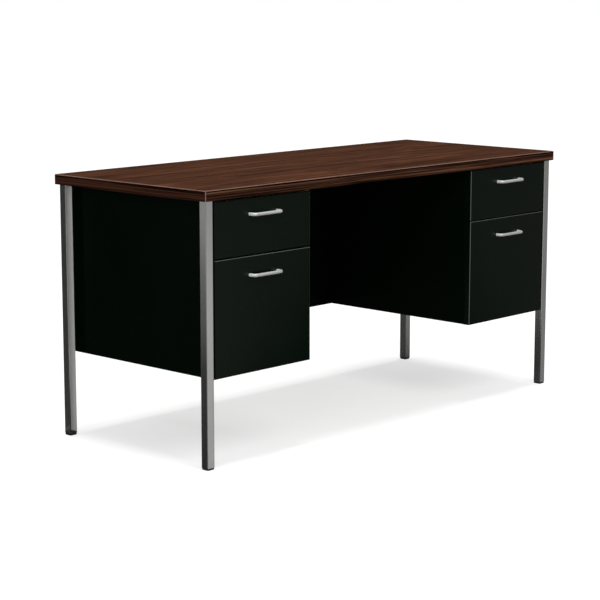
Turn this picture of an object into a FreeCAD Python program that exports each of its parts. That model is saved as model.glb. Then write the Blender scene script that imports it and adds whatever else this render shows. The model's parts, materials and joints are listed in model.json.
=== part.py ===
import FreeCAD
import Part
import os

# Double-pedestal steel desk: a laminate top on four square tube legs, with a box drawer over a
# file drawer in each pedestal and a panel across the back of the knee space.
# Millimetres. +X is to the right seen from the front, +Y to the back, +Z up. The origin is on the
# floor under the middle of the whole desk, pulls included, so the drawers open towards -Y.

# Desk top
TOP_WIDTH = 1524.0
TOP_DEPTH = 609.6
DESK_HEIGHT = 749.3
TOP_THICKNESS = 28.6
LAMINATE_THICKNESS = 0.8
EDGE_BAND_THICKNESS = 3.0
TOP_EDGE_ROUND = 2.0

# Legs and foot glides
LEG_SIZE = 25.4
LEG_WALL = 1.6
LEG_CORNER_RADIUS = 2.5
LEG_INSET = 9.5
GLIDE_HEIGHT = 6.0
GLIDE_INSET = 0.6
GLIDE_CHAMFER = 2.0
GLIDE_SPIGOT_LENGTH = 22.0
GLIDE_SPIGOT_CLEARANCE = 0.4

# Pedestals, folded from sheet steel
KNEEHOLE_WIDTH = 711.2
PEDESTAL_BOTTOM = 243.0
SHEET = 1.2
BEND_RADIUS = 2.5
FLANGE = 14.0
HEM_DEPTH = 5.0
HEM_ROUND = 1.0
END_PANEL_SETBACK = 1.0
ASSEMBLY_GAP = 1.0
BOTTOM_PAN_LIP = 10.0
BOTTOM_PAN_SIDE_GAP = 1.4
TOP_RAIL_WIDTH = 30.0
TOP_RAIL_DROP = 18.0
MODESTY_SETBACK = 3.0
MODESTY_FLANGE = 18.0

# Drawer fronts
FRONT_DEPTH = 19.0
FRONT_TO_CASE_GAP = 1.5
FRONT_TO_LEG_GAP = 5.0
FRONT_TO_TOP_GAP = 4.0
FRONT_SPLIT_GAP = 3.0
BOX_FRONT_HEIGHT = 153.2

# Drawer trays
TRAY_SHEET = 1.0
TRAY_BACK_SPACE = 31.6
TRAY_HEM_DEPTH = 8.0
BOX_TRAY_LIFT = 17.0
BOX_TRAY_DROP = 28.0
FILE_TRAY_LIFT = 20.0
FILE_TRAY_DROP = 35.0
HANG_RAIL_LEDGE = 12.0
HANG_RAIL_LIP = 12.0

# Pulls: a round bar bent to a U, one screw in each foot. The bend is measured to the bar's middle.
PULL_CENTRES = 105.0
PULL_PROJECTION = 24.0
PULL_DIAMETER = 9.0
PULL_BEND_RADIUS = 9.0
BOX_PULL_DROP = 43.5
FILE_PULL_DROP = 51.0
PULL_SCREW_RADIUS = 2.0
PULL_SCREW_GRIP = 8.0
PULL_SCREW_HEAD_FLATS = 7.0
PULL_SCREW_HEAD_HEIGHT = 2.4

# Slides, one pair for each drawer
SLIDE_SPACE = 13.0
SLIDE_SETBACK = 9.5
SLIDE_BACK_SPACE = 60.6
SLIDE_SHEET = 1.2
RUNNING_GAP = 0.4

# File slide: three nested channels
FILE_SLIDE_HEIGHT = 45.0
FILE_SLIDE_DEPTH = 9.0
FILE_SLIDE_LIP = 3.0
FILE_SLIDE_RISE = 100.0

# Box slide: two members on rollers
BOX_SLIDE_RISE = 10.0
ROLLER_WIDTH = 6.4
ROLLER_WALL_GAP = 1.8
ROLLER_RUNNING_GAP = 0.3
FRONT_ROLLER_RADIUS = 10.5
REAR_ROLLER_RADIUS = 8.0
ROLLER_END_SPACE = 14.0
AXLE_RADIUS = 3.0
AXLE_CLEARANCE = 0.1
AXLE_HEAD_RADIUS = 4.6
AXLE_HEAD_THICKNESS = 0.8
CHANNEL_DEPTH = 10.0
DRAWER_RAIL_WEB = 22.0
DRAWER_RAIL_END_GAP = 40.0

# Screws and bolts, with shanks of few sides because they are small and many
SHANK_SIDES = 8
LEG_BOLT_RADIUS = 3.0
LEG_BOLT_HEAD_FLATS = 10.0
LEG_BOLT_HEAD_HEIGHT = 2.2
LEG_BOLT_REACH = 7.0
LEG_BOLT_END_SPACE = 25.0
SCREW_RADIUS = 2.2
SCREW_HEAD_FLATS = 7.0
SCREW_HEAD_HEIGHT = 2.2
SCREW_HOLE_CLEARANCE = 0.2
TOP_SCREW_BITE = 16.0
TOP_SCREW_EDGE_SPACE = 22.0
MODESTY_SCREW_REACH = 3.0
MODESTY_SCREW_COUNT = 2

# Places worked out from the driving dimensions
UNDER_TOP = DESK_HEIGHT - TOP_THICKNESS
PULL_OVERHANG = PULL_PROJECTION - LEG_INSET
TOP_BACK = (TOP_DEPTH + PULL_OVERHANG) / 2
TOP_FRONT = TOP_BACK - TOP_DEPTH
LEG_FRONT = TOP_FRONT + LEG_INSET
LEG_BACK = TOP_BACK - LEG_INSET
LEG_OUTER = TOP_WIDTH / 2 - LEG_INSET
CASE_FRONT = LEG_FRONT + FRONT_DEPTH + FRONT_TO_CASE_GAP

# The left pedestal runs from its end panel, against the legs, to the knee space
CASE_LEFT = LEG_SIZE - LEG_OUTER
CASE_RIGHT = -KNEEHOLE_WIDTH / 2
CASE_MIDDLE = (CASE_LEFT + CASE_RIGHT) / 2
CASE_HEIGHT = (PEDESTAL_BOTTOM, UNDER_TOP)

FRONT_WIDTH = (CASE_LEFT + FRONT_TO_LEG_GAP, CASE_RIGHT)
BOX_FRONT_TOP = UNDER_TOP - FRONT_TO_TOP_GAP
BOX_FRONT = (BOX_FRONT_TOP - BOX_FRONT_HEIGHT, BOX_FRONT_TOP)
FILE_FRONT = (PEDESTAL_BOTTOM, BOX_FRONT[0] - FRONT_SPLIT_GAP)
BOX_PULL_Z = BOX_FRONT[1] - BOX_PULL_DROP
FILE_PULL_Z = FILE_FRONT[1] - FILE_PULL_DROP

TRAY_WIDTH = (CASE_LEFT + SHEET + SLIDE_SPACE, CASE_RIGHT - SHEET - SLIDE_SPACE)
TRAY_LENGTH = (LEG_FRONT + FRONT_DEPTH, LEG_BACK - TRAY_BACK_SPACE)
BOX_TRAY = (BOX_FRONT[0] + BOX_TRAY_LIFT, BOX_FRONT[1] - BOX_TRAY_DROP)
FILE_TRAY = (FILE_FRONT[0] + FILE_TRAY_LIFT, FILE_FRONT[1] - FILE_TRAY_DROP)

SLIDE_WALL = CASE_LEFT + SHEET
SLIDE_RUN = (CASE_FRONT + SLIDE_SETBACK, LEG_BACK - SLIDE_BACK_SPACE)
BOX_AXLE_Z = BOX_TRAY[0] + BOX_SLIDE_RISE
FILE_SLIDE_Z = FILE_TRAY[0] + FILE_SLIDE_RISE
FRONT_ROLLER_Y = SLIDE_RUN[0] + ROLLER_END_SPACE
REAR_ROLLER_Y = SLIDE_RUN[1] - DRAWER_RAIL_END_GAP - ROLLER_END_SPACE

# Cuts run this far past the faces that they open
PAST = 1.0
SAME_PLACE = 1e-6

V = FreeCAD.Vector
TO_RIGHT = V(1, 0, 0)
TO_LEFT = V(-1, 0, 0)
TO_FRONT = V(0, -1, 0)
UP = V(0, 0, 1)


def box(x, y, z):
    """A block between (low, high) pairs."""
    return Part.makeBox(x[1] - x[0], y[1] - y[0], z[1] - z[0], V(x[0], y[0], z[0]))


def rod(radius, start, direction, length):
    return Part.makeCylinder(radius, length, start, direction)


def edges_on(shape, **planes):
    """The edges whose ends all lie on the named planes, such as x=0, z=10."""
    def on_planes(point):
        return all(abs(getattr(point, axis) - place) < SAME_PLACE for axis, place in planes.items())
    return [edge for edge in shape.Edges if all(on_planes(v.Point) for v in edge.Vertexes)]


def upright_edges(block, sides):
    """The four vertical edges of a block that stands between (low, high) pairs in x and y."""
    return [edge for x in sides[0] for y in sides[1] for edge in edges_on(block, x=x, y=y)]


def joined(*shapes):
    """One solid from pieces that share faces, without the seams between them."""
    return shapes[0].fuse(list(shapes[1:])).removeSplitter()


def prism_along_y(outline, run):
    """A profile given as (x, z) points, drawn from run[0] to run[1] along the depth."""
    points = [V(x, run[0], z) for x, z in outline]
    face = Part.Face(Part.makePolygon(points + points[:1]))
    return face.extrude(V(0, run[1] - run[0], 0))


def across_case(shape):
    """The same piece on the other wall of the left pedestal."""
    return shape.mirror(V(CASE_MIDDLE, 0, 0), TO_RIGHT)


def wall_pair(shape):
    return Part.makeCompound([shape, across_case(shape)])


def across_desk(shape):
    return shape.mirror(V(0, 0, 0), TO_RIGHT)


def sided_bar(sides, radius, start, direction, length):
    """A bar with a regular outline, its corners at the given radius."""
    outward = TO_FRONT.cross(direction) if TO_FRONT.cross(direction).Length else UP
    turns = [FreeCAD.Rotation(direction, 360 * side / sides) for side in range(sides)]
    rim = [start + turn.multVec(outward) * radius for turn in turns]
    return Part.Face(Part.makePolygon(rim + rim[:1])).extrude(direction * length)


def screw_hole(radius, start, direction, length):
    return sided_bar(SHANK_SIDES, radius + SCREW_HOLE_CLEARANCE, start, direction, length)


def headed_screw(head_seat, direction, radius, length, head_flats, head_height):
    """A hex-headed screw whose head sits on head_seat and whose shank runs along direction."""
    shank = sided_bar(SHANK_SIDES, radius, head_seat, direction, length)
    head = sided_bar(6, head_flats / 3 ** 0.5, head_seat, direction * -1, head_height)
    return joined(shank, head)


# Desk top

def top_pieces():
    outside = ((-TOP_WIDTH / 2, TOP_WIDTH / 2), (TOP_FRONT, TOP_BACK), (UNDER_TOP, DESK_HEIGHT))
    inside = [(low + EDGE_BAND_THICKNESS, high - EDGE_BAND_THICKNESS) for low, high in outside[:2]]
    slab = box(*outside)
    arrises = upright_edges(slab, outside) + edges_on(slab, z=DESK_HEIGHT)
    slab = slab.makeFillet(TOP_EDGE_ROUND, arrises)
    band = slab.cut(box(*inside, (UNDER_TOP - PAST, DESK_HEIGHT + PAST)))
    laminate = box(*inside, (DESK_HEIGHT - LAMINATE_THICKNESS, DESK_HEIGHT))
    core = box(*inside, (UNDER_TOP, DESK_HEIGHT - LAMINATE_THICKNESS))
    return {"top_core": core, "top_laminate": laminate, "top_edge_band": band}


def top_screw_seats():
    """Where the left pedestal's top screws meet the underside of its top rails."""
    height = UNDER_TOP - 2 * SHEET
    columns = (CASE_LEFT + TOP_SCREW_EDGE_SPACE, CASE_RIGHT - TOP_SCREW_EDGE_SPACE)
    rows = [sum(run) / 2 for run in top_rail_runs()]
    return [V(x, y, height) for x in columns for y in rows]


def top_screws():
    sizes = (SCREW_RADIUS, 2 * SHEET + TOP_SCREW_BITE, SCREW_HEAD_FLATS, SCREW_HEAD_HEIGHT)
    left = [headed_screw(seat, UP, *sizes) for seat in top_screw_seats()]
    return Part.makeCompound(left + [across_desk(screw) for screw in left])


# Legs

def leg_bolt_heights():
    return (PEDESTAL_BOTTOM + LEG_BOLT_END_SPACE, UNDER_TOP - LEG_BOLT_END_SPACE)


def leg_bolt_seats(leg_middle):
    """Points on the inside of the left end panel, one for each bolt into the leg at leg_middle."""
    return [V(CASE_LEFT + SHEET, leg_middle, z) for z in leg_bolt_heights()]


def leg_bolt_hole(seat):
    return screw_hole(LEG_BOLT_RADIUS, seat + TO_RIGHT * PAST, TO_LEFT, SHEET + LEG_WALL + 2 * PAST)


def square(middle, size):
    """The (low, high) pairs of a square round a (x, y) middle."""
    return [(place - size / 2, place + size / 2) for place in middle]


def leg(middle):
    sides = square(middle, LEG_SIZE)
    tube = box(*sides, (GLIDE_HEIGHT, UNDER_TOP))
    tube = tube.makeFillet(LEG_CORNER_RADIUS, upright_edges(tube, sides))
    bore = box(*square(middle, LEG_SIZE - 2 * LEG_WALL), (GLIDE_HEIGHT - PAST, UNDER_TOP + PAST))
    return tube.cut(bore).cut([leg_bolt_hole(seat) for seat in leg_bolt_seats(middle[1])])


def glide(middle):
    """A moulded foot under the leg, with a spigot that plugs the tube."""
    sides = square(middle, LEG_SIZE - 2 * GLIDE_INSET)
    foot = box(*sides, (0, GLIDE_HEIGHT))
    foot = foot.makeChamfer(GLIDE_CHAMFER, upright_edges(foot, sides) + edges_on(foot, z=0))
    spigot_size = LEG_SIZE - 2 * LEG_WALL - 2 * GLIDE_SPIGOT_CLEARANCE
    spigot = box(*square(middle, spigot_size), (GLIDE_HEIGHT, GLIDE_HEIGHT + GLIDE_SPIGOT_LENGTH))
    return joined(foot, spigot)


def leg_pieces():
    pieces = {}
    glides = []
    bolts = []
    bolt_length = SHEET + LEG_WALL + LEG_BOLT_REACH
    sizes = (LEG_BOLT_RADIUS, bolt_length, LEG_BOLT_HEAD_FLATS, LEG_BOLT_HEAD_HEIGHT)
    for row, y in (("front", LEG_FRONT + LEG_SIZE / 2), ("back", LEG_BACK - LEG_SIZE / 2)):
        middle = (LEG_SIZE / 2 - LEG_OUTER, y)
        left = leg(middle)
        pieces["leg_" + row + "_left"] = left
        pieces["leg_" + row + "_right"] = across_desk(left)
        glides.append(glide(middle))
        bolts += [headed_screw(seat, TO_LEFT, *sizes) for seat in leg_bolt_seats(y)]
    pieces["foot_glides"] = Part.makeCompound(glides + [across_desk(piece) for piece in glides])
    pieces["leg_bolts"] = Part.makeCompound(bolts + [across_desk(bolt) for bolt in bolts])
    return pieces


# Pedestal cases

def side_panel(front):
    """The left wall of the left pedestal: a hem at its front edge, flanges at its other edges."""
    hem = box((CASE_LEFT, CASE_LEFT + 2 * SHEET), (front, front + HEM_DEPTH), CASE_HEIGHT)
    nose = [edge for x in (CASE_LEFT, CASE_LEFT + 2 * SHEET) for edge in edges_on(hem, y=front, x=x)]
    hem = hem.makeFillet(HEM_ROUND, nose)
    flanges_from = max(front + HEM_DEPTH, CASE_FRONT)
    tray = box((CASE_LEFT, CASE_LEFT + FLANGE), (flanges_from, LEG_BACK), CASE_HEIGHT)
    bends = edges_on(tray, x=CASE_LEFT, z=PEDESTAL_BOTTOM)
    bends += edges_on(tray, x=CASE_LEFT, y=LEG_BACK)
    bends += edges_on(tray, y=LEG_BACK, z=PEDESTAL_BOTTOM)
    tray = tray.makeFillet(BEND_RADIUS, bends)
    hollow_x = (CASE_LEFT + SHEET, CASE_LEFT + FLANGE + PAST)
    hollow_y = (flanges_from - PAST, LEG_BACK - SHEET)
    hollow_z = (PEDESTAL_BOTTOM + SHEET, UNDER_TOP - SHEET)
    tray = tray.cut(box(hollow_x, hollow_y, hollow_z))
    pieces = [tray, hem]
    if flanges_from > front + HEM_DEPTH:
        pieces.append(box((CASE_LEFT, CASE_LEFT + SHEET), (front + HEM_DEPTH, flanges_from), CASE_HEIGHT))
    return joined(*pieces)


def top_rail_runs():
    """The depth that the front and the rear top rail take up."""
    front = CASE_FRONT + HEM_DEPTH + ASSEMBLY_GAP
    back = LEG_BACK - 2 * SHEET - ASSEMBLY_GAP
    return ((front, front + TOP_RAIL_WIDTH), (back - TOP_RAIL_WIDTH, back))


def top_rail(run, drop_run):
    width = (CASE_LEFT + SHEET, CASE_RIGHT - SHEET)
    plate = box(width, run, (UNDER_TOP - 2 * SHEET, UNDER_TOP - SHEET))
    drop = box(width, drop_run, (UNDER_TOP - TOP_RAIL_DROP, UNDER_TOP - 2 * SHEET))
    return joined(plate, drop)


def top_rails():
    front, rear = top_rail_runs()
    rails = [top_rail(front, (front[0], front[0] + SHEET)), top_rail(rear, (rear[1] - SHEET, rear[1]))]
    length = SHEET + 2 * PAST
    holes = [screw_hole(SCREW_RADIUS, seat - UP * PAST, UP, length) for seat in top_screw_seats()]
    return Part.makeCompound([rail.cut(holes) for rail in rails])


def bottom_pan():
    width = (CASE_LEFT + SHEET + BOTTOM_PAN_SIDE_GAP, CASE_RIGHT - SHEET - BOTTOM_PAN_SIDE_GAP)
    run = (CASE_FRONT + ASSEMBLY_GAP, LEG_BACK - 2 * SHEET)
    floor = PEDESTAL_BOTTOM + SHEET
    block = box(width, run, (floor, floor + BOTTOM_PAN_LIP))
    block = block.makeFillet(BEND_RADIUS, [edge for y in run for edge in edges_on(block, y=y, z=floor)])
    hollow_x = (width[0] - PAST, width[1] + PAST)
    hollow_y = (run[0] + SHEET, run[1] - SHEET)
    return block.cut(box(hollow_x, hollow_y, (floor + SHEET, floor + BOTTOM_PAN_LIP + PAST)))


def back_panel():
    width = (CASE_LEFT + SHEET, CASE_RIGHT - SHEET)
    height = (PEDESTAL_BOTTOM + SHEET, UNDER_TOP - SHEET)
    return box(width, (LEG_BACK - 2 * SHEET, LEG_BACK - SHEET), height)


def modesty_screw_seats():
    """Points on the inside of the modesty panel's left flange."""
    y = LEG_BACK - MODESTY_SETBACK - MODESTY_FLANGE / 2
    pitch = (UNDER_TOP - PEDESTAL_BOTTOM) / MODESTY_SCREW_COUNT
    heights = [PEDESTAL_BOTTOM + pitch * (row + 0.5) for row in range(MODESTY_SCREW_COUNT)]
    return [V(CASE_RIGHT + SHEET, y, z) for z in heights]


def modesty_hole(seat):
    return screw_hole(SCREW_RADIUS, seat + TO_RIGHT * PAST, TO_LEFT, 2 * SHEET + 2 * PAST)


def modesty_panel():
    width = (CASE_RIGHT, -CASE_RIGHT)
    back = LEG_BACK - MODESTY_SETBACK
    run = (back - MODESTY_FLANGE, back)
    block = box(width, run, CASE_HEIGHT)
    bends = [edge for x in width for edge in edges_on(block, x=x, y=back)]
    bends += edges_on(block, z=PEDESTAL_BOTTOM, y=back)
    block = block.makeFillet(BEND_RADIUS, bends)
    hollow_x = (width[0] + SHEET, width[1] - SHEET)
    hollow_z = (PEDESTAL_BOTTOM + SHEET, UNDER_TOP - SHEET)
    panel = block.cut(box(hollow_x, (run[0] - PAST, back - SHEET), hollow_z))
    holes = [modesty_hole(seat) for seat in modesty_screw_seats()]
    return panel.cut(holes + [across_desk(hole) for hole in holes])


def modesty_screws():
    length = 2 * SHEET + MODESTY_SCREW_REACH
    sizes = (SCREW_RADIUS, length, SCREW_HEAD_FLATS, SCREW_HEAD_HEIGHT)
    left = [headed_screw(seat, TO_LEFT, *sizes) for seat in modesty_screw_seats()]
    return Part.makeCompound(left + [across_desk(screw) for screw in left])


def case_pieces():
    bolt_holes = []
    for leg_middle in (LEG_FRONT + LEG_SIZE / 2, LEG_BACK - LEG_SIZE / 2):
        bolt_holes += [leg_bolt_hole(seat) for seat in leg_bolt_seats(leg_middle)]
    modesty_holes = [modesty_hole(seat) for seat in modesty_screw_seats()]
    return {
        "end_panel": side_panel(LEG_FRONT + END_PANEL_SETBACK).cut(bolt_holes),
        "kneehole_panel": across_case(side_panel(CASE_FRONT)).cut(modesty_holes),
        "back_panel": back_panel(),
        "bottom_pan": bottom_pan(),
        "top_rails": top_rails(),
    }


# Drawers

def pull_feet(pull_z):
    """Points on the drawer front where the two feet of its pull stand."""
    middle = sum(FRONT_WIDTH) / 2
    return [V(middle + side * PULL_CENTRES / 2, LEG_FRONT, pull_z) for side in (-1, 1)]


def drawer_front(height, pull_z):
    run = (LEG_FRONT, LEG_FRONT + FRONT_DEPTH)
    block = box(FRONT_WIDTH, run, height)
    block = block.makeFillet(BEND_RADIUS, edges_on(block, y=LEG_FRONT))
    hollow_x, hollow_z = inside_front(height)
    front = block.cut(box(hollow_x, (run[0] + SHEET, run[1] + PAST), hollow_z))
    return front.cut(pull_screw_holes(pull_z, SHEET))


def inside_front(height):
    """Width and height of the space inside a drawer front's folded rim."""
    return [(low + SHEET, high - SHEET) for low, high in (FRONT_WIDTH, height)]


def inner_front(height):
    rear = LEG_FRONT + FRONT_DEPTH
    width, inner_height = inside_front(height)
    return box(width, (rear - SHEET, rear), inner_height)


def tray_bottom(height):
    """A drawer's bottom, folded up at its rear edge to make the back."""
    block = box(TRAY_WIDTH, TRAY_LENGTH, height)
    block = block.makeFillet(BEND_RADIUS, edges_on(block, y=TRAY_LENGTH[1], z=height[0]))
    hollow_x = (TRAY_WIDTH[0] - PAST, TRAY_WIDTH[1] + PAST)
    hollow_y = (TRAY_LENGTH[0] - PAST, TRAY_LENGTH[1] - TRAY_SHEET)
    return block.cut(box(hollow_x, hollow_y, (height[0] + TRAY_SHEET, height[1] + PAST)))


def box_side_outline(height):
    """Profile of the left side of a box tray, with a hem folded outwards along its top."""
    outer, inner = TRAY_WIDTH[0], TRAY_WIDTH[0] + TRAY_SHEET
    hem_x, hem_z = outer - TRAY_SHEET, height[1] - TRAY_HEM_DEPTH
    outline = [(outer, height[0] + TRAY_SHEET), (inner, height[0] + TRAY_SHEET), (inner, height[1])]
    return outline + [(hem_x, height[1]), (hem_x, hem_z), (outer, hem_z)]


def file_side_outline(height):
    """Profile of the left side of a file tray, whose top is folded in to a ledge and an upright lip."""
    outer, inner = TRAY_WIDTH[0], TRAY_WIDTH[0] + TRAY_SHEET
    ledge, tip = height[1] - HANG_RAIL_LIP, inner + HANG_RAIL_LEDGE
    lip_x, ledge_top = tip - TRAY_SHEET, ledge + TRAY_SHEET
    outline = [(outer, height[0] + TRAY_SHEET), (inner, height[0] + TRAY_SHEET), (inner, ledge)]
    outline += [(tip, ledge), (tip, height[1]), (lip_x, height[1])]
    return outline + [(lip_x, ledge_top), (outer, ledge_top)]


def tray_sides(outline):
    """The two sides of a drawer, standing on its bottom in front of its back."""
    return wall_pair(prism_along_y(outline, (TRAY_LENGTH[0], TRAY_LENGTH[1] - TRAY_SHEET)))


def pull(pull_z):
    """A round bar bent to a U: a foot, a bend and half of the bar, and the same on the other side."""
    left, right = pull_feet(pull_z)
    middle = (left + right) * 0.5
    bend_start = left + TO_FRONT * (PULL_PROJECTION - PULL_DIAMETER / 2 - PULL_BEND_RADIUS)
    bend_middle = bend_start + TO_RIGHT * PULL_BEND_RADIUS
    bar_start = bend_middle + TO_FRONT * PULL_BEND_RADIUS
    foot = rod(PULL_DIAMETER / 2, left, TO_FRONT, (bend_start - left).Length)
    rim = Part.Face(Part.Wire(Part.makeCircle(PULL_DIAMETER / 2, bend_start, TO_FRONT)))
    bend = rim.revolve(bend_middle, UP, 90)
    bar = rod(PULL_DIAMETER / 2, bar_start, TO_RIGHT, middle.x - bar_start.x)
    half = joined(foot, bend, bar)
    whole = joined(half, half.mirror(middle, TO_RIGHT))
    return whole.cut(pull_screw_holes(pull_z, PULL_SCREW_GRIP))


def pull_screw_holes(pull_z, depth):
    """Holes for a pull's screws, to the given depth on both sides of the drawer front's face."""
    reach = depth + PAST
    starts = [foot - TO_FRONT * reach for foot in pull_feet(pull_z)]
    return [screw_hole(PULL_SCREW_RADIUS, start, TO_FRONT, 2 * reach) for start in starts]


def pull_screws(pull_z):
    sizes = (PULL_SCREW_RADIUS, SHEET + PULL_SCREW_GRIP, PULL_SCREW_HEAD_FLATS, PULL_SCREW_HEAD_HEIGHT)
    seats = [foot - TO_FRONT * SHEET for foot in pull_feet(pull_z)]
    return Part.makeCompound([headed_screw(seat, TO_FRONT, *sizes) for seat in seats])


def drawer_pieces(name, front_height, pull_z, tray_height, side_outline):
    return {
        name + "_drawer_front": drawer_front(front_height, pull_z),
        name + "_inner_front": inner_front(front_height),
        name + "_tray_bottom": tray_bottom(tray_height),
        name + "_tray_sides": tray_sides(side_outline),
        name + "_pull": pull(pull_z),
        name + "_pull_screws": pull_screws(pull_z),
    }


# File slides: a fixed channel on the wall, a middle channel in it, and a hat rail on the tray

def lipped_channel(back, front, half_height):
    """Profile of a channel open towards the tray, from x=back to x=front, about the slide's axis."""
    inside = half_height - SLIDE_SHEET
    lip_x = front - SLIDE_SHEET
    lip_end = inside - FILE_SLIDE_LIP
    upper = [(back, half_height), (front, half_height), (front, lip_end), (lip_x, lip_end)]
    upper += [(lip_x, inside), (back + SLIDE_SHEET, inside)]
    return at_file_axis(upper + [(x, -z) for x, z in reversed(upper)])


def hat_rail(back, front, flange_half, wall_half):
    """Profile of a rail whose flanges run in the middle channel and whose crown lies on the tray."""
    upper = [(back, flange_half), (back + SLIDE_SHEET, flange_half), (back + SLIDE_SHEET, wall_half)]
    upper += [(front, wall_half)]
    lower = [(x, -z) for x, z in reversed(upper)]
    inner = wall_half - SLIDE_SHEET
    hollow = [(back, -inner), (front - SLIDE_SHEET, -inner), (front - SLIDE_SHEET, inner), (back, inner)]
    return at_file_axis(upper + lower + hollow)


def at_file_axis(outline):
    return [(x, z + FILE_SLIDE_Z) for x, z in outline]


def file_slide_pieces():
    step = SLIDE_SHEET + RUNNING_GAP
    half = FILE_SLIDE_HEIGHT / 2
    fixed = lipped_channel(SLIDE_WALL, SLIDE_WALL + FILE_SLIDE_DEPTH, half)
    middle = lipped_channel(SLIDE_WALL + step, SLIDE_WALL + FILE_SLIDE_DEPTH - step, half - step)
    neck = half - step - SLIDE_SHEET - FILE_SLIDE_LIP - RUNNING_GAP
    moving = hat_rail(SLIDE_WALL + 2 * step, TRAY_WIDTH[0], half - 2 * step, neck)
    return {
        "file_cabinet_rails": wall_pair(prism_along_y(fixed, SLIDE_RUN)),
        "file_middle_rails": wall_pair(prism_along_y(middle, SLIDE_RUN)),
        "file_drawer_rails": wall_pair(prism_along_y(moving, SLIDE_RUN)),
    }


# Box slides: the tray's rail rolls over a front roller, and its own rear roller runs in a channel

def roller(radius, y):
    """A wheel on the slide's axis at depth y, against the left wall's side of the slide."""
    start = V(SLIDE_WALL + SLIDE_SHEET + ROLLER_WALL_GAP, y, BOX_AXLE_Z)
    wheel = rod(radius, start, TO_RIGHT, ROLLER_WIDTH)
    bore = rod(AXLE_RADIUS + AXLE_CLEARANCE, start - TO_RIGHT * PAST, TO_RIGHT, ROLLER_WIDTH + 2 * PAST)
    return wheel.cut(bore)


def axle(start_x, direction, y):
    """A riveted axle that holds a roller between its carrier at start_x and its own head."""
    wheel_x = SLIDE_WALL + SLIDE_SHEET + ROLLER_WALL_GAP
    far_x = wheel_x + ROLLER_WIDTH if direction is TO_RIGHT else wheel_x
    reach = abs(far_x - start_x) + RUNNING_GAP
    start = V(start_x, y, BOX_AXLE_Z)
    pin = rod(AXLE_RADIUS, start, direction, reach)
    head = rod(AXLE_HEAD_RADIUS, start + direction * reach, direction, AXLE_HEAD_THICKNESS)
    return joined(pin, head)


def box_cabinet_rail():
    half = REAR_ROLLER_RADIUS + ROLLER_RUNNING_GAP + SLIDE_SHEET
    web_x = (SLIDE_WALL, SLIDE_WALL + SLIDE_SHEET)
    channel_x = (SLIDE_WALL, SLIDE_WALL + CHANNEL_DEPTH)
    channel_run = (FRONT_ROLLER_Y + FRONT_ROLLER_RADIUS + ASSEMBLY_GAP, SLIDE_RUN[1])
    web = box(web_x, SLIDE_RUN, (BOX_AXLE_Z - half, BOX_AXLE_Z + half))
    lower = box(channel_x, channel_run, (BOX_AXLE_Z - half, BOX_AXLE_Z - half + SLIDE_SHEET))
    upper = box(channel_x, channel_run, (BOX_AXLE_Z + half - SLIDE_SHEET, BOX_AXLE_Z + half))
    return joined(web, lower, upper, axle(web_x[1], TO_RIGHT, FRONT_ROLLER_Y))


def box_drawer_rail():
    flange_z = BOX_AXLE_Z + FRONT_ROLLER_RADIUS + ROLLER_RUNNING_GAP
    flange_top = flange_z + SLIDE_SHEET
    run = (TRAY_LENGTH[0] + ASSEMBLY_GAP, SLIDE_RUN[1] - DRAWER_RAIL_END_GAP)
    web_x = (TRAY_WIDTH[0] - SLIDE_SHEET, TRAY_WIDTH[0])
    flange_x = (SLIDE_WALL + SLIDE_SHEET + ROLLER_WALL_GAP / 2, TRAY_WIDTH[0])
    flange = box(flange_x, run, (flange_z, flange_top))
    web = box(web_x, run, (flange_top, flange_top + DRAWER_RAIL_WEB))
    ear_run = (REAR_ROLLER_Y - ROLLER_END_SPACE, REAR_ROLLER_Y + ROLLER_END_SPACE)
    ear = box(web_x, ear_run, (BOX_AXLE_Z - AXLE_HEAD_RADIUS, flange_z))
    return joined(flange, web, ear, axle(web_x[0], TO_LEFT, REAR_ROLLER_Y))


def box_slide_pieces():
    return {
        "box_cabinet_rails": wall_pair(box_cabinet_rail()),
        "box_drawer_rails": wall_pair(box_drawer_rail()),
        "box_front_rollers": wall_pair(roller(FRONT_ROLLER_RADIUS, FRONT_ROLLER_Y)),
        "box_rear_rollers": wall_pair(roller(REAR_ROLLER_RADIUS, REAR_ROLLER_Y)),
    }


# The whole desk

def pedestal_pieces():
    pieces = case_pieces()
    pieces.update(drawer_pieces("box", BOX_FRONT, BOX_PULL_Z, BOX_TRAY, box_side_outline(BOX_TRAY)))
    pieces.update(drawer_pieces("file", FILE_FRONT, FILE_PULL_Z, FILE_TRAY, file_side_outline(FILE_TRAY)))
    pieces.update(file_slide_pieces())
    pieces.update(box_slide_pieces())
    return pieces


def desk_pieces():
    pieces = top_pieces()
    pieces["top_screws"] = top_screws()
    pieces.update(leg_pieces())
    pieces["modesty_panel"] = modesty_panel()
    pieces["modesty_screws"] = modesty_screws()
    for name, shape in pedestal_pieces().items():
        pieces["left_" + name] = shape
        pieces["right_" + name] = across_desk(shape)
    return pieces


os.makedirs("parts", exist_ok=True)
for node, solid in desk_pieces().items():
    solid.exportStep("parts/" + node + ".step")
    state = "valid" if solid.isValid() else "not valid"
    print(node, "solids", len(solid.Solids), "volume", round(solid.Volume), "mm3", state)
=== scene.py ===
# %% [markdown]
# # A steel pedestal desk, dressed for a studio picture
#
# The desk arrives here as sixty imported parts at their real size. This lesson gives every part its
# finish, remodels the few parts whose looks depend on soft edges, adds the rivets that show on open
# drawers, and builds a small photo studio round them. Nothing is resized: the imported parts say where
# everything goes.

# %% Load the imported desk
import json
import math

import bmesh
import bpy
from mathutils import Matrix, Vector


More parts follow.
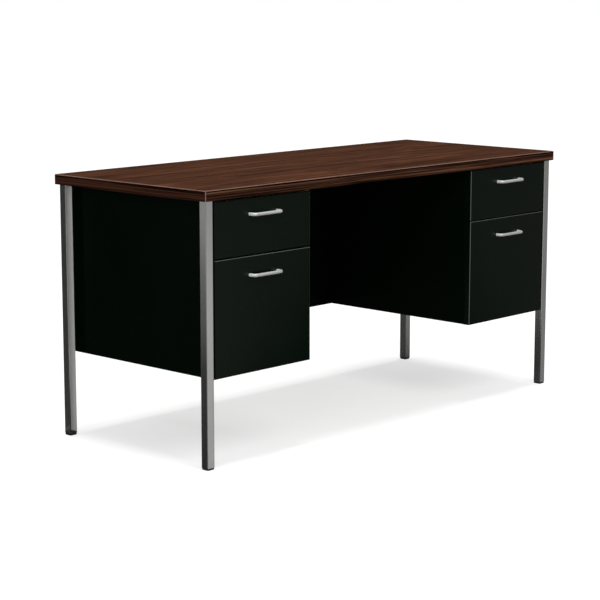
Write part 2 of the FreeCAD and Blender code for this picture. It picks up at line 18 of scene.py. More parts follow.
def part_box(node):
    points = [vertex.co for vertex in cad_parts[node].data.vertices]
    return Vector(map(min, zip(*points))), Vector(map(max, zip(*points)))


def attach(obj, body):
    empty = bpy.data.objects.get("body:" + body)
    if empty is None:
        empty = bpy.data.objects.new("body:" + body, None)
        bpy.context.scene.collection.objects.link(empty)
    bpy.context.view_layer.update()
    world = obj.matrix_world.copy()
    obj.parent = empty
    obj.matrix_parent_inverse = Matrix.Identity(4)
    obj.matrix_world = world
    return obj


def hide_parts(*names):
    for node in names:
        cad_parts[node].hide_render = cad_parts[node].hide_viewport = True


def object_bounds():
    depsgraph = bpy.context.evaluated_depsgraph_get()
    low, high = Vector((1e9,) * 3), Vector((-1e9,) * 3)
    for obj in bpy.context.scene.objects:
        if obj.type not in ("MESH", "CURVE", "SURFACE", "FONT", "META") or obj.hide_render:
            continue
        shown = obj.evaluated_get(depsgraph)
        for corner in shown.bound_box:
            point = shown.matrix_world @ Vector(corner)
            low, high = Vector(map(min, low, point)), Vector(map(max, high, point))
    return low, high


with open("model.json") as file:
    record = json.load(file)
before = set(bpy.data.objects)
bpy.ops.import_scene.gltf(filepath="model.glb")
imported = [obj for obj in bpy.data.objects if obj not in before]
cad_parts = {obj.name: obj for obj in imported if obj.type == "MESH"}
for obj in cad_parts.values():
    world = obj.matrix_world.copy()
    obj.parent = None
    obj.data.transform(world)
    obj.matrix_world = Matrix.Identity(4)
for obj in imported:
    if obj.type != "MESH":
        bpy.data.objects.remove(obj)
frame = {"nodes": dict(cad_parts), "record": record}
cad_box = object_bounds()
record = frame["record"]
slot_of_node = {row["node"]: row["material_slot"] for row in record["subparts"]}
print("desk size in metres", [round(side, 4) for side in cad_box[1] - cad_box[0]])

# %% [markdown]
# ## Wiring a finish
#
# A finish is a small graph: a place on the part feeds patterns, the patterns feed colour, roughness and
# bump, and those feed one shader. The graph could be drawn by hand in the node editor. Here it is wired by
# code, so that one function can make several finishes of a kind. All patterns read Object coordinates,
# which are metres on the desk, so a scale of 500 means a pattern that repeats about every 2 mm.


# %% Helpers that wire a finish
def add_node(tree, kind, sockets=None, **properties):
    """Adds a node; each socket takes a plain value or another node's output."""
    node = tree.nodes.new(kind)
    for name, value in properties.items():
        setattr(node, name, value)
    for name, value in (sockets or {}).items():
        if isinstance(value, bpy.types.NodeSocket):
            tree.links.new(value, node.inputs[name])
        else:
            node.inputs[name].default_value = value
    return node


def new_finish(name, **values):
    """A material with one Principled shader. Returns it, its tree, the shader and Object coordinates."""
    finish = bpy.data.materials.new(name)
    finish.use_nodes = True
    tree = finish.node_tree
    tree.nodes.clear()
    sockets = {key.replace("_", " "): value for key, value in values.items()}
    shader = add_node(tree, "ShaderNodeBsdfPrincipled", sockets)
    add_node(tree, "ShaderNodeOutputMaterial", {"Surface": shader.outputs["BSDF"]})
    place = add_node(tree, "ShaderNodeTexCoord").outputs["Object"]
    return finish, tree, shader, place


def wire(tree, shader, **links):
    """Links outputs to the shader's sockets."""
    for name, output in links.items():
        tree.links.new(output, shader.inputs[name.replace("_", " ")])


print("wiring helpers ready")

# %% [markdown]
# ## Factors
#
# Real finishes vary from place to place: grain, brushed lines, smudges. A painted image could carry that,
# but it blurs close up. A noise node gives a factor, a number for each place, at any distance. The helpers
# below make a noise, stretch it into streaks, bring it into a range and do sums with it.


# %% Noises and streaks
def stretched(tree, place, scale):
    """The same place with each axis scaled, so that a round pattern becomes streaks."""
    return add_node(tree, "ShaderNodeMapping", {"Vector": place, "Scale": scale}).outputs["Vector"]


def noise(tree, place, scale, detail=2.0, roughness=0.5):
    sockets = {"Vector": place, "Scale": scale, "Detail": detail, "Roughness": roughness}
    return add_node(tree, "ShaderNodeTexNoise", sockets).outputs["Fac"]


def streaks(tree, place, axis, length, width, detail=2.0, roughness=0.5):
    """A noise drawn out along one axis, in streaks of about this length and width in metres."""
    scale = tuple(1 / length if name == axis else 1 / width for name in "XYZ")
    return noise(tree, stretched(tree, place, scale), 1.0, detail, roughness)


print("noise helpers ready")


# %% Sums with factors
def axis_parts(tree, vector):
    return add_node(tree, "ShaderNodeSeparateXYZ", {"Vector": vector}).outputs


def spread(tree, factor, start, end, low=0.0, high=1.0):
    """Takes a factor from start..end to low..high."""
    sockets = {"Value": factor, "From Min": start, "From Max": end, "To Min": low, "To Max": high}
    return add_node(tree, "ShaderNodeMapRange", sockets).outputs["Result"]


def maths(tree, operation, first, second=0.0):
    return add_node(tree, "ShaderNodeMath", {0: first, 1: second}, operation=operation).outputs["Value"]


def product(tree, first, second):
    return maths(tree, "MULTIPLY", first, second)


def weighted(tree, *shares):
    """Adds up factors, each times its share."""
    whole, *rest = [product(tree, factor, share) for factor, share in shares]
    for part in rest:
        whole = maths(tree, "ADD", whole, part)
    return whole


print("factor helpers ready")

# %% [markdown]
# ## Colours and bumps
#
# A factor becomes a colour through a ramp, which is how one noise can be both the dark and the light of a
# finish. Two colour images could be mixed instead, but a ramp keeps all tones of a finish in one row of
# numbers. A bump tilts the light on a surface by a factor and leaves its shape alone, which suits anything
# finer than a fraction of a millimetre.

# %% Helpers for colours and bumps
NOISE_LOW, NOISE_HIGH = 0.3, 0.7  # nearly all values of a noise lie between these


def ramp(tree, factor, stops):
    """A colour ramp through (position, colour) stops."""
    node = add_node(tree, "ShaderNodeValToRGB", {"Fac": factor})
    elements = node.color_ramp.elements
    elements[0].position, elements[1].position = stops[0][0], stops[-1][0]
    elements[0].color, elements[1].color = (*stops[0][1], 1), (*stops[-1][1], 1)
    for position, colour in stops[1:-1]:
        elements.new(position).color = (*colour, 1)
    return node.outputs["Color"]


def mixed(tree, factor, under, over, how="MIX"):
    """Colour over laid on colour under."""
    sockets = {0: factor, 6: under, 7: over}
    return add_node(tree, "ShaderNodeMix", sockets, data_type="RGBA", blend_type=how).outputs[2]


def ranged(tree, factor, low, high):
    """A noise as a number that goes from low to high."""
    return spread(tree, factor, NOISE_LOW, NOISE_HIGH, low, high)


def bump(tree, height, distance, strength):
    sockets = {"Height": height, "Distance": distance, "Strength": strength}
    return add_node(tree, "ShaderNodeBump", sockets).outputs["Normal"]


print("colour helpers ready")

# %% [markdown]
# ## Dark woodgrain laminate
#
# The top is a printed plastic sheet with a dark walnut figure, and its grain runs the length of the desk.
# A photograph of wood could be stretched over it, but an image blurs close up and shows its edges. Here
# three noises are drawn out into streaks instead: broad tone bands, finer veins, and hair-thin pores. A
# slow drift carries all three sideways together, so the grain flows as in a sawn board, and folding the
# broad noise back on itself draws the loops that growth rings make. The laminate is satin and hardly
# mirrors, so its shine is low.

# %% Woodgrain
LAMINATE_SHINE = 0.01
LAMINATE_ROUGHNESS = 0.42, 0.56
DRIFT_LENGTH, DRIFT_WIDTH = 1 / 1.6, 1 / 9
DRIFT_FROM, DRIFT_TO = 0.2, 0.8
VEINS_PER_STREAK = 1.6
RING_FOLDS = 11.0
BROAD_SHARE, VEIN_SHARE, RING_SHARE = 0.4, 0.5, 0.10
PORE_LENGTH, PORE_WIDTH = 1 / 15, 0.001
PORE_FROM, PORE_TO = 0.56, 0.70
PORE_COLOUR, PORE_STRENGTH = (0.014, 0.006, 0.003, 1), 0.45
PORE_DEPTH, PORE_BUMP = 0.00004, 0.5
DARK_LINE_FADE, DARK_LINE_STRENGTH = 0.002, 0.09


def woodgrain(name, axis, tones, streak, vein, length, wander, dark_line=None):
    """A woodgrain along X or Y. Streak and vein are the widths of its stripes, length the streaks' length
    and wander how far they drift sideways, in metres. It gets darker above the height of a dark line."""
    finish, tree, shader, place = new_finish(name, Specular_IOR_Level=LAMINATE_SHINE)
    drift = streaks(tree, place, axis, DRIFT_LENGTH, DRIFT_WIDTH)
    drift = spread(tree, drift, DRIFT_FROM, DRIFT_TO, -wander, wander)
    flow = add_node(tree, "ShaderNodeVectorMath", {0: place, 1: drift}, operation="ADD").outputs["Vector"]
    broad = streaks(tree, flow, axis, length, streak, detail=4.0, roughness=0.55)
    veins = streaks(tree, flow, axis, length / VEINS_PER_STREAK, vein, detail=5.0, roughness=0.65)
    rings = maths(tree, "PINGPONG", product(tree, broad, RING_FOLDS), 1.0)
    pores = spread(tree, streaks(tree, flow, axis, PORE_LENGTH, PORE_WIDTH), PORE_FROM, PORE_TO)
    figure = weighted(tree, (broad, BROAD_SHARE), (veins, VEIN_SHARE), (rings, RING_SHARE))
    if dark_line:
        above = spread(tree, axis_parts(tree, place)["Z"], dark_line, dark_line + DARK_LINE_FADE,
                       0.0, DARK_LINE_STRENGTH)
        figure = maths(tree, "SUBTRACT", figure, above)
    colour = mixed(tree, product(tree, pores, PORE_STRENGTH), ramp(tree, figure, tones), PORE_COLOUR)
    wire(tree, shader, Base_Color=colour, Roughness=ranged(tree, veins, *LAMINATE_ROUGHNESS),
         Normal=bump(tree, pores, -PORE_DEPTH, PORE_BUMP))
    return finish


print("woodgrain with pores", PORE_WIDTH * 1000, "mm wide")

# %% [markdown]
# ## The four laminates of the top
#
# The sheet has the broad flowing figure of a board. The edge strips are printed with straighter, darker
# stripes, and have a dark line under their trimmed edge. One laminate could do for all, but the grain of
# the end strips runs the other way and their tones are darker still, a painted shade, and the trimmed edge
# gets a lighter tone, a painted highlight. So there are four, which share the function above and differ in
# their tones and stripes.

# %% Laminates
SHEET_TONES = [(0.38, (0.017, 0.0058, 0.0028)), (0.50, (0.052, 0.0192, 0.0090)),
               (0.62, (0.102, 0.0395, 0.0192))]
BAND_TONES = [(0.43, (0.005, 0.0018, 0.0011)), (0.50, (0.042, 0.0165, 0.0090)),
              (0.57, (0.116, 0.0520, 0.0290))]
# The end strips' tones are darker as painted shade.
SHADED_END_BAND_TONES = [(0.43, (0.003, 0.0010, 0.0006)), (0.50, (0.015, 0.0053, 0.0029)),
                  (0.57, (0.046, 0.0185, 0.0102))]
# The arris tones are lighter as a painted highlight on the trimmed edge.
ARRIS_HIGHLIGHT_TONES = [(0.30, (0.126, 0.069, 0.051)), (0.70, (0.224, 0.135, 0.103))]
BOARD_FIGURE = {"streak": 0.024, "vein": 0.0045, "length": 0.55, "wander": 0.018}
BAND_FIGURE = {"streak": 0.009, "vein": 0.0046, "length": 1.4, "wander": 0.002, "dark_line": 0.7425}

sheet_wood = woodgrain("woodgrain_sheet", "X", SHEET_TONES, **BOARD_FIGURE)
long_band_wood = woodgrain("woodgrain_long_band", "X", BAND_TONES, **BAND_FIGURE)
shaded_end_band_wood = woodgrain("woodgrain_end_band_shaded", "Y", SHADED_END_BAND_TONES, **BAND_FIGURE)
arris_highlight_wood = woodgrain("woodgrain_arris_highlight", "X", ARRIS_HIGHLIGHT_TONES, **BOARD_FIGURE)
print("laminates:", sheet_wood.name, long_band_wood.name, shaded_end_band_wood.name, arris_highlight_wood.name)

# %% [markdown]
# ## Where the enamel gets a painted highlight
#
# On the drawer fronts a light line is painted on the folded edges as a highlight, where their rounded folds
# catch the light:
# along the top of the file fronts and up the knee side. The line could be painted face by face, but the
# surface can find it by itself. A flat panel faces straight along an axis and a folded edge doesn't, and
# the place tells which edges get the highlight.

# %% Painted highlight on the folded edges
KNEE_SIDE = 0.40
FILE_FRONT_TOP = 0.60
HIGHLIGHT_FADE = 0.01
FLAT, FOLDED = 0.99, 0.86
# The painted highlight starts on a fold that faces this far sideways or up, and is full at the second value.
TURNED = 0.1, 0.3  # how far a fold faces sideways or up before it is rubbed, and when it is rubbed fully


def painted_highlight_edges(tree, place):
    """1 on the folded edges that get the painted highlight, 0 on flat panels and on the other edges."""
    facing = add_node(tree, "ShaderNodeNewGeometry").outputs["Normal"]
    sizes = add_node(tree, "ShaderNodeVectorMath", {0: facing}, operation="ABSOLUTE").outputs["Vector"]
    size = axis_parts(tree, sizes)
    largest = maths(tree, "MAXIMUM", maths(tree, "MAXIMUM", size["X"], size["Y"]), size["Z"])
    folded = spread(tree, largest, FLAT, FOLDED)
    where = axis_parts(tree, place)
    from_middle = maths(tree, "ABSOLUTE", where["X"])
    beside_knees = product(tree, spread(tree, from_middle, KNEE_SIDE, KNEE_SIDE - HIGHLIGHT_FADE),
                           spread(tree, size["X"], *TURNED))
    file_top = product(tree, spread(tree, where["Z"], FILE_FRONT_TOP, FILE_FRONT_TOP - HIGHLIGHT_FADE),
                       spread(tree, axis_parts(tree, facing)["Z"], *TURNED))
    return product(tree, folded, maths(tree, "MAXIMUM", beside_knees, file_top))


print("rubbed within", KNEE_SIDE, "m of the middle and below", FILE_FRONT_TOP, "m")

# %% [markdown]
# ## Black enamel on sheet steel
#
# Panels, drawer fronts and trays are sprayed and baked. One black would look like a hole in the picture,
# because sprayed paint has a faint orange peel and a slow change of tone. A fine noise makes the peel as a
# bump, and a wide one moves the colour and the roughness together.

# %% Enamel
CLOUD_SCALE = 3.5
PEEL_SCALE = 620.0
PEEL_HEIGHT, PEEL_BUMP = 0.00006, 0.35


def toned(tree, factor, dark, light):
    """A noise as a change from a dark colour to a light one."""
    return ramp(tree, factor, [(NOISE_LOW, dark), (NOISE_HIGH, light)])


def enamel(name, dark, light, shine, roughness, painted_highlight=None):
    """Sprayed enamel with a range of roughness. The last argument, if given, is the colour of a highlight
    painted on its folded edges.
    """
    finish, tree, shader, place = new_finish(name, Specular_IOR_Level=shine)
    cloud = noise(tree, place, CLOUD_SCALE, detail=3.0)
    colour = toned(tree, cloud, dark, light)
    if painted_highlight:
        colour = mixed(tree, painted_highlight_edges(tree, place), colour, (*painted_highlight, 1))
    peel = noise(tree, place, PEEL_SCALE, detail=1.0)
    wire(tree, shader, Base_Color=colour, Roughness=ranged(tree, cloud, *roughness),
         Normal=bump(tree, peel, PEEL_HEIGHT, PEEL_BUMP))
    return finish


# The case's black is the fronts' black made darker: painted shade for the side and knee panels.
shaded_case_enamel = enamel("shaded_case_enamel", (0.0003, 0.0022, 0.0007), (0.0005, 0.0030, 0.0010),
                     shine=0.07, roughness=(0.38, 0.48))
# The fronts get a light line painted on their folded edges as a highlight.
front_enamel = enamel("front_enamel", (0.0004, 0.0030, 0.0010), (0.0008, 0.0042, 0.0016),
                      shine=0.18, roughness=(0.24, 0.30), painted_highlight=(0.09, 0.094, 0.09))
tray_enamel = enamel("tray_enamel", (0.006, 0.0068, 0.006), (0.009, 0.0098, 0.009),
                     shine=0.12, roughness=(0.38, 0.48))
print("enamel:", shaded_case_enamel.name, front_enamel.name, tray_enamel.name)

# %% [markdown]
# ## Bright and satin metals
#
# The legs are chromed tube, the pulls satin nickel, and the slides and fasteners zinc. A metal is mostly
# its reflections, so what sets these apart is how sharp they are. One flat grey could stand for each, but
# it would look like paint. Each gets a roughness that wanders a little as handling leaves it, and fine
# lines along the way the metal was drawn or brushed. The pulls have a bead-blasted skin that scatters most
# light, so they are only partly Metallic. Their front is painted darker than their ends as painted shade,
# so the ends stay light.

# %% Metals
LINE_LENGTH, LINE_WIDTH = 1 / 4, 1 / 700
LINE_HEIGHT, LINE_BUMP = 0.000004, 0.3
SMUDGE_SCALE = 9.0
SMUDGE_SHARE, LINE_SHARE = 0.5, 0.5
TONE_LOW, TONE_HIGH = 0.35, 0.65
FRONT_SHADE_FADE = 0.005


def metal(name, dark, light, roughness, line_axis, mirror=1.0, shaded_front=None):
    """A metal whose tone and roughness vary along drawn or brushed lines. Mirror is how Metallic it is. The
    last argument, if given, is the depth where a darker front starts, a painted shade, and how much of the
    tone it keeps."""
    finish, tree, shader, place = new_finish(name, Metallic=mirror)
    lines = streaks(tree, place, line_axis, LINE_LENGTH, LINE_WIDTH, detail=3.0, roughness=0.6)
    smudge = noise(tree, place, SMUDGE_SCALE, detail=3.0)
    tone = weighted(tree, (smudge, SMUDGE_SHARE), (lines, LINE_SHARE))
    colour = ramp(tree, tone, [(TONE_LOW, dark), (TONE_HIGH, light)])
    # Painted shade: darkens the front of the part from the given depth on.
    if shaded_front:
        depth, kept = shaded_front
        shade_on_front = spread(tree, axis_parts(tree, place)["Y"], depth - FRONT_SHADE_FADE, depth + FRONT_SHADE_FADE, kept, 1.0)
        colour = mixed(tree, 1.0, colour, shade_on_front, "MULTIPLY")
    wire(tree, shader, Base_Color=colour, Roughness=spread(tree, tone, TONE_LOW, TONE_HIGH, *roughness),
         Normal=bump(tree, lines, LINE_HEIGHT, LINE_BUMP))
    return finish


print("metal lines", LINE_LENGTH, "m long and", round(LINE_WIDTH * 1000, 1), "mm wide")

# %% The five metals
leg_chrome = metal("leg_chrome", (0.62, 0.615, 0.605), (0.68, 0.675, 0.665), (0.13, 0.19), "Z",
                   mirror=0.97)
# The pulls' front is darkened as painted shade.
pull_nickel = metal("pull_satin_nickel", (0.80, 0.805, 0.795), (0.88, 0.885, 0.875), (0.34, 0.42), "X",
                    mirror=0.3, shaded_front=(-0.302, 0.55))
slide_zinc = metal("slide_zinc", (0.52, 0.53, 0.54), (0.66, 0.67, 0.68), (0.28, 0.42), "Y")
screw_zinc = metal("screw_zinc", (0.46, 0.46, 0.46), (0.60, 0.60, 0.59), (0.25, 0.38), "Z")
screw_black = metal("screw_black_oxide", (0.008, 0.008, 0.008), (0.014, 0.014, 0.014), (0.40, 0.50), "Z")
print("metals:", leg_chrome.name, pull_nickel.name, slide_zinc.name, screw_zinc.name, screw_black.name)

# %% [markdown]
# ## Moulded plastics
#
# The foot glides are black polyethylene and the rollers white nylon, both moulded with a fine matt skin. A
# smooth plain colour would look like glass or enamel. A fine noise gives the skin its roughness and bump,
# and a coarser one the faint clouds of a moulded colour.

# %% Plastics
SKIN_SCALE = 1400.0
SKIN_DEPTH, SKIN_BUMP = 0.00003, 0.5
SKIN_SHINE = 0.4
MOULD_CLOUD_SCALE = 40.0


def moulded(name, dark, light, roughness):
    finish, tree, shader, place = new_finish(name, Specular_IOR_Level=SKIN_SHINE)
    skin = noise(tree, place, SKIN_SCALE)
    cloud = noise(tree, place, MOULD_CLOUD_SCALE)
    wire(tree, shader, Base_Color=toned(tree, cloud, dark, light), Roughness=ranged(tree, skin, *roughness),
         Normal=bump(tree, skin, SKIN_DEPTH, SKIN_BUMP))
    return finish


roller_nylon = moulded("roller_nylon", (0.76, 0.75, 0.70), (0.84, 0.83, 0.79), (0.38, 0.5))
glide_plastic = moulded("glide_plastic", (0.010, 0.010, 0.010), (0.016, 0.016, 0.016), (0.45, 0.6))
print("plastics:", roller_nylon.name, glide_plastic.name)

# %% [markdown]
# ## Raw particleboard
#
# The underside of the top is bare board: pressed chips of many tones. A noise would give soft clouds, and
# chips have edges. Voronoi cells have them too, and every cell gets a tone of its own. A fine noise lies
# over them as dust.

# %% Particleboard
CHIP_TONES = [(0.0, (0.30, 0.19, 0.10)), (0.5, (0.48, 0.34, 0.20)), (1.0, (0.60, 0.46, 0.30))]
CHIP_SCALE, CHIP_STRETCH = 240.0, (1.0, 1.4, 1.0)
CHIP_HEIGHT, CHIP_BUMP = 0.0002, 0.5
DUST_SCALE, DUST_SHARE = 900.0, 0.3
BOARD_SHINE, BOARD_ROUGHNESS = 0.2, (0.7, 0.9)


def particleboard(name):
    finish, tree, shader, place = new_finish(name, Specular_IOR_Level=BOARD_SHINE)
    cells = {"Vector": stretched(tree, place, CHIP_STRETCH), "Scale": CHIP_SCALE}
    chips = add_node(tree, "ShaderNodeTexVoronoi", cells).outputs["Color"]
    tone = add_node(tree, "ShaderNodeSeparateColor", {"Color": chips}).outputs["Red"]
    dust = noise(tree, place, DUST_SCALE, detail=3.0)
    colour = mixed(tree, DUST_SHARE, ramp(tree, tone, CHIP_TONES), ramp(tree, dust, CHIP_TONES))
    wire(tree, shader, Base_Color=colour, Roughness=ranged(tree, dust, *BOARD_ROUGHNESS),
         Normal=bump(tree, tone, CHIP_HEIGHT, CHIP_BUMP))
    return finish


core_board = particleboard("core_particleboard")
print("board:", core_board.name)

# %% [markdown]
# ## Dressing the imported parts
#
# Every imported part names a material slot in the desk's record. Each part could be given its finish one by
# one, but giving each slot one finish dresses all parts at once. Two exceptions follow: the drawer fronts
# have a glossier and lighter enamel than the case, whose darker black is painted shade, and the modesty
# panel's screws are blackened. A part that is remodelled later simply hides its packed twin.

# %% Give each part its finish
FINISHES = {
    "woodgrain_laminate": sheet_wood, "particleboard": core_board, "chrome_leg": leg_chrome,
    "satin_pull": pull_nickel, "black_enamel": shaded_case_enamel, "black_tray": tray_enamel,
    "zinc_slide": slide_zinc, "zinc_screw": screw_zinc, "white_nylon": roller_nylon,
    "black_plastic": glide_plastic,
}
for node_name, part in frame["nodes"].items():
    part.material_slots[0].material = FINISHES[slot_of_node[node_name]]
    if node_name.endswith("drawer_front"):
        part.material_slots[0].material = front_enamel
frame["nodes"]["modesty_screws"].material_slots[0].material = screw_black
print("dressed", len(frame["nodes"]), "parts in", len(FINISHES), "slots")

# %% [markdown]
# ## Shaping a mesh
#
# A bmesh is Blender's workbench mesh: operators shape it, and it becomes an object at the end. Pieces could
# be pushed together in edit mode by hand, but then nobody could repeat the steps. The few helpers below
# are the steps that the new pieces share: draw a flat plate, push faces out, and round edges.


# %% Helpers for shaping
def plate(bm, low, high, z):
    """One flat rectangle at a height."""
    across = Vector(((high.x - low.x) / 2, (high.y - low.y) / 2, 1))
    middle = Vector(((high.x + low.x) / 2, (high.y + low.y) / 2, z))
    seat = Matrix.Translation(middle) @ Matrix.Diagonal(across.to_4d())
    made = bmesh.ops.create_grid(bm, x_segments=1, y_segments=1, size=1, matrix=seat)
    return made["verts"][0].link_faces[0]


def faces_in(geometry):
    return [part for part in geometry if isinstance(part, bmesh.types.BMFace)]


def extruded(bm, faces, by, keep_start=False):
    """Pushes faces by a vector and returns the new end faces. The start stays only if it closes the piece."""
    made = bmesh.ops.extrude_face_region(bm, geom=faces, use_keep_orig=True)["geom"]
    bmesh.ops.translate(bm, verts=[part for part in made if isinstance(part, bmesh.types.BMVert)], vec=by)
    if not keep_start:
        bmesh.ops.delete(bm, geom=faces, context="FACES_ONLY")
    return faces_in(made)


def rounded(bm, geometry, radius, segments, affect="EDGES"):
    """Rounds edges or corners and returns the new faces."""
    return bmesh.ops.bevel(bm, geom=geometry, affect=affect, offset=radius, offset_type="OFFSET",
                           segments=segments, profile=0.5, material=-1)["faces"]


print("shaping helpers ready")

# %% [markdown]
# ## From a mesh to a piece on the desk
#
# Each new piece is smooth-shaded with weighted normals, so that broad faces stay flat and only the rounded
# edges curve. Flat shading would show every facet of a round bar. The piece then rides on a body, takes its
# finishes, and stands for the imported part that it remodels, or adds to it.

# %% Helpers for pieces
SHARP_ANGLE = math.radians(50)
body_of_node = {node: body for body, nodes in record["behaviour"]["bodies"].items() for node in nodes}


def mesh_object(name, bm, finishes):
    mesh = bpy.data.meshes.new(name)
    bm.to_mesh(mesh)
    bm.free()
    for finish in finishes:
        mesh.materials.append(finish)
    made = bpy.data.objects.new(name, mesh)
    bpy.context.collection.objects.link(made)
    return made


def finished_piece(name, bm, finishes, node, stands_for=True):
    """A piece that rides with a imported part's body and stands for that part or adds to it."""
    piece = mesh_object(name, bm, finishes)
    piece.data.shade_smooth()
    piece.data.set_sharp_from_angle(angle=SHARP_ANGLE)
    piece.modifiers.new("weighted normals", "WEIGHTED_NORMAL").keep_sharp = True
    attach(piece, body_of_node[node])
    if stands_for:
        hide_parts(node)
    role = "stands for" if stands_for else "adds to"
    print(name, "has", len(piece.data.polygons), "faces and", role, node)
    return piece


print("bodies to ride on:", len(set(body_of_node.values())))

# %% [markdown]
# ## The edge band round the top
#
# A 3 mm strip is glued round the four sides of the top and trimmed with a small round. On the real strip
# the grain runs along each side, and the trimmed edges get a painted highlight, a light line. The band could
# have one finish for all, but then the grain would run across the two short sides. So the ring is drawn flat,
# raised and rounded, and its faces get a finish by the way they look: along X, along Y in darker tones as
# painted shade, or the painted highlight where the bevel rounded them.

# %% Edge band
BAND_ROUND, BAND_ROUND_STEPS = 0.002, 5
NEAR = 1e-5
BAND_FINISHES = [long_band_wood, shaded_end_band_wood, arris_highlight_wood]
LONG_SIDE, SHORT_SIDE, ARRIS_HIGHLIGHT = range(len(BAND_FINISHES))


def edge_band():
    low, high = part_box("top_edge_band")
    core_low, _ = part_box("top_core")
    bm = bmesh.new()
    base = plate(bm, low, high, low.z)
    bmesh.ops.inset_region(bm, faces=[base], thickness=core_low.x - low.x, use_boundary=True,
                           use_even_offset=True)
    bmesh.ops.delete(bm, geom=[base], context="FACES_ONLY")
    extruded(bm, bm.faces[:], Vector((0, 0, high.z - low.z)), keep_start=True)
    bmesh.ops.recalc_face_normals(bm, faces=bm.faces[:])
    for face in bm.faces:
        # The short sides take the darker tones, painted shade.
        face.material_index = SHORT_SIDE if abs(face.normal.x) > 0.5 else LONG_SIDE

    def outside(vert):
        return min(vert.co.x - low.x, high.x - vert.co.x, vert.co.y - low.y, high.y - vert.co.y) < NEAR

    def trimmed(edge):
        first, second = edge.verts
        upright = abs(first.co.z - second.co.z) > NEAR
        at_top = min(first.co.z, second.co.z) > high.z - NEAR
        return outside(first) and outside(second) and (upright or at_top)

    edges = [edge for edge in bm.edges if trimmed(edge)]
    # The rounded trim gets the painted highlight.
    for face in rounded(bm, edges, BAND_ROUND, BAND_ROUND_STEPS):
        face.material_index = ARRIS_HIGHLIGHT
    return finished_piece("worktop_edge_band", bm, BAND_FINISHES, "top_edge_band")


edge_band()

# %% [markdown]
# ## The drawer pulls
#
# Each pull is a round bar bent twice into a shallow U, with a matt plating that stays bright from every
# side. It could be a curve with a bevel, but a curve's profile twists at tight bends. Instead one round
# face, the bar's section, is pushed out from the drawer front, spun a quarter turn, pushed along, spun
# again and pushed back, as the bar is bent. Where the pushes and turns meet, doubled points are merged.

# %% Bending a bar
BAR_BEND, BEND_STEPS = 0.009, 12
MERGE_DISTANCE = 1e-6
QUARTER_TURN = math.radians(90)


def bent(bm, faces, centre):
    """Spins the bar's end a quarter turn round an upright axis."""
    made = bmesh.ops.spin(bm, geom=faces, cent=centre, axis=(0, 0, 1), angle=QUARTER_TURN, steps=BEND_STEPS)
    bmesh.ops.delete(bm, geom=faces, context="FACES_ONLY")
    return faces_in(made["geom_last"])


def cleaned(bm):
    """Merges doubled points and turns all faces outwards."""
    bmesh.ops.remove_doubles(bm, verts=bm.verts[:], dist=MERGE_DISTANCE)
    bmesh.ops.recalc_face_normals(bm, faces=bm.faces[:])


print("bars bend round", BAR_BEND * 1000, "mm")

# %% Pulls
BAR_SIDES = 24
PULL_NODES = [node for node in frame["nodes"] if slot_of_node[node] == "satin_pull"]


def pull(node):
    low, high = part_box(node)
    radius = (high.z - low.z) / 2
    left, right, front = low.x + radius, high.x - radius, low.y + radius
    foot = Vector((left, high.y, (low.z + high.z) / 2))
    section = Matrix.Translation(foot) @ Matrix.Rotation(QUARTER_TURN, 4, "X")
    bm = bmesh.new()
    bmesh.ops.create_circle(bm, cap_ends=True, segments=BAR_SIDES, radius=radius, matrix=section)
    end = extruded(bm, bm.faces[:], Vector((0, front + BAR_BEND - foot.y, 0)), keep_start=True)
    end = bent(bm, end, (left + BAR_BEND, front + BAR_BEND, 0))
    end = extruded(bm, end, Vector((right - left - 2 * BAR_BEND, 0, 0)))
    end = bent(bm, end, (right - BAR_BEND, front + BAR_BEND, 0))
    extruded(bm, end, Vector((0, foot.y - front - BAR_BEND, 0)))
    cleaned(bm)
    return finished_piece(node + "_bar", bm, [pull_nickel], node)


for node_name in PULL_NODES:
    pull(node_name)

# %% [markdown]
# ## The foot glides
#
# A plastic glide is pressed into the end of each leg so that the tube doesn't cut the floor. It is moulded,
# so its corners and its lower rim are round. It could be a scaled box, but a box would keep hard corners. A
# square face with rounded corners is pushed up to the tube instead, and its lower rim is beveled. The plug
# inside the tube is a second, narrower push.

# %% Foot glides
GLIDE_INSET = 0.0006
GLIDE_CORNER, GLIDE_CORNER_STEPS = 0.003, 5
GLIDE_RIM, GLIDE_RIM_STEPS = 0.0022, 4
PLUG_INSET = 0.002
LEG_NODES = [node for node in frame["nodes"] if slot_of_node[node] == "chrome_leg"]


def under_leg(face, low, high):
    """Whether a face lies on the floor inside a leg's square."""
    middle = face.calc_center_median()
    return abs(middle.z) < MERGE_DISTANCE and low.x < middle.x < high.x and low.y < middle.y < high.y


def glide(bm, leg, plug_top):
    """One glide under a leg, with its plug."""
    low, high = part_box(leg)
    inset = Vector((GLIDE_INSET, GLIDE_INSET, 0))
    square = plate(bm, low + inset, high - inset, 0)
    rounded(bm, square.verts[:], GLIDE_CORNER, GLIDE_CORNER_STEPS, affect="VERTICES")
    base = [face for face in bm.faces if under_leg(face, low, high)]
    rim = [edge for face in base for edge in face.edges]
    plug = extruded(bm, base, Vector((0, 0, low.z)), keep_start=True)
    bmesh.ops.inset_region(bm, faces=plug, thickness=PLUG_INSET, use_boundary=True, use_even_offset=True)
    extruded(bm, plug, Vector((0, 0, plug_top - low.z)))
    rounded(bm, rim, GLIDE_RIM, GLIDE_RIM_STEPS)


def foot_glides():
    _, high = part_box("foot_glides")
    bm = bmesh.new()
    for leg in LEG_NODES:
        glide(bm, leg, high.z)
    cleaned(bm)
    return finished_piece("rounded_foot_glides", bm, [glide_plastic], "foot_glides")


foot_glides()

